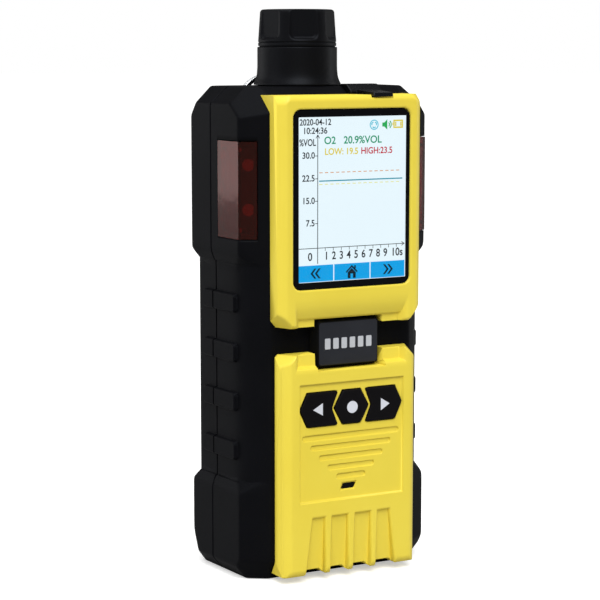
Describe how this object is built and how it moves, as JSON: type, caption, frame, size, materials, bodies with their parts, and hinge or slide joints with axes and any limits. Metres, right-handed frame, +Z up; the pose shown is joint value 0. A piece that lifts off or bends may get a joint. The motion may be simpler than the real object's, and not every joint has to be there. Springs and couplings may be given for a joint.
{
  "type": "portable gas detector",
  "caption": "Handheld pumped gas detector with colour screen, keys, alarm windows on both corners, screw-on inlet filter, split ring and belt clip.",
  "frame": {"origin": "centre of the base face of the case, on its parting line side toward the front", "axes": "+Z up along the case toward the inlet cap, -Y out of the screen, +X to the right seen from the front"},
  "size_m": [0.08, 0.0605, 0.1995],
  "materials": {
    "case_black": "soft touch, fine grain",
    "cover_yellow": "satin moulded",
    "seal_black": "matt",
    "badge_black": "smooth",
    "glass": "clear",
    "display": "lit panel",
    "key_rubber": "matt",
    "board_green": "solder mask",
    "lens_red": "tinted, translucent",
    "lamp_white": "board with lamps",
    "steel": "plated",
    "ring_steel": "polished",
    "filter_white": "felt",
    "label_silver": "blank film",
    "cell_blue": "sleeve",
    "inner_dark": "moulded",
    "tube_clear": "silicone",
    "sensor_white": "moulded"
  },
  "bodies": {
    "case": {"front_shell": "case_black", "rear_shell": "case_black", "seam_gasket": "seal_black", "upper_cover": "cover_yellow", "lower_cover": "cover_yellow", "badge": "badge_black", "window_glass": "glass", "lcd_module": "display", "key_membrane": "seal_black", "main_board": "board_green", "sounder": "inner_dark", "vibration_motor": "steel", "lens_right": "lens_red", "lens_left": "lens_red", "led_board_right": "lamp_white", "led_board_left": "lamp_white", "inlet_collar": "case_black", "filter_seal": "seal_black", "charge_socket": "steel", "ring_lug": "case_black", "clip_base": "case_black", "clip_pin": "steel", "clip_spring": "steel", "clip_screw_1": "steel", "clip_screw_2": "steel", "case_screw_1": "steel", "case_screw_2": "steel", "case_screw_3": "steel", "case_screw_4": "steel", "rear_label": "label_silver", "exhaust_nozzle": "inner_dark", "battery": "cell_blue", "sensor_manifold": "inner_dark", "gas_sensor_1": "sensor_white", "gas_sensor_2": "sensor_white", "gas_sensor_3": "sensor_white", "gas_sensor_4": "sensor_white", "pump_body": "inner_dark", "pump_motor": "steel", "inlet_tube": "tube_clear", "link_tube": "tube_clear", "exhaust_tube": "tube_clear"},
    "filter": {"dust_filter": "filter_white"},
    "cap": {"filter_cap": "case_black"},
    "key_left_body": {"key_left": "key_rubber"},
    "key_middle_body": {"key_middle": "key_rubber"},
    "key_right_body": {"key_right": "key_rubber"},
    "port_flap": {"port_cover": "seal_black"},
    "ring": {"split_ring": "ring_steel"},
    "clip": {"clip_blade": "case_black"},
    "pump_rotor": {"pump_eccentric": "steel"},
    "buzz_rotor": {"vibration_weight": "steel"}
  },
  "joints": [
    {"name": "press_left", "type": "slide", "parent": "case", "child": "key_left_body", "axis": [0, 1, 0], "range_m": [0, 0.0009], "stiffness_N_per_m": 500, "springref_m": -0.0006},
    {"name": "press_middle", "type": "slide", "parent": "case", "child": "key_middle_body", "axis": [0, 1, 0], "range_m": [0, 0.0009], "stiffness_N_per_m": 500, "springref_m": -0.0006},
    {"name": "press_right", "type": "slide", "parent": "case", "child": "key_right_body", "axis": [0, 1, 0], "range_m": [0, 0.0009], "stiffness_N_per_m": 500, "springref_m": -0.0006},
    {"name": "filter_lift", "type": "slide", "parent": "case", "child": "filter", "axis": [0, 0, 1], "range_m": [0, 0.0045]},
    {"name": "cap_turn", "type": "hinge", "parent": "filter", "child": "cap", "pos_m": [-0.004, 0.007, 0.1877], "axis": [0, 0, 1], "range_deg": [0, 1080]},
    {"name": "port_open", "type": "hinge", "parent": "case", "child": "port_flap", "pos_m": [0.012, -0.0064, 0.1731], "axis": [-1, 0, 0], "range_deg": [0, 110], "stiffness_Nm_per_rad": 0.002, "springref_deg": -11.46},
    {"name": "ring_swing", "type": "hinge", "parent": "case", "child": "ring", "pos_m": [-0.005, 0.0284, 0.1753], "axis": [1, 0, 0], "range_deg": [0, 150]},
    {"name": "clip_open", "type": "hinge", "parent": "case", "child": "clip", "pos_m": [0, 0.0299, 0.1207], "axis": [1, 0, 0], "range_deg": [0, 12], "stiffness_Nm_per_rad": 0.12, "springref_deg": -8.59},
    {"name": "pump_turn", "type": "hinge", "parent": "case", "child": "pump_rotor", "pos_m": [0.02, -0.003, 0.1267], "axis": [0, 0, 1], "continuous": true},
    {"name": "buzz_turn", "type": "hinge", "parent": "case", "child": "buzz_rotor", "pos_m": [-0.014, -0.004, 0.04], "axis": [1, 0, 0], "continuous": true}
  ],
  "couplings": [
    {"joint": "cap_turn", "follows": "filter_lift", "rad_per_m": 4188.8}
  ]
}
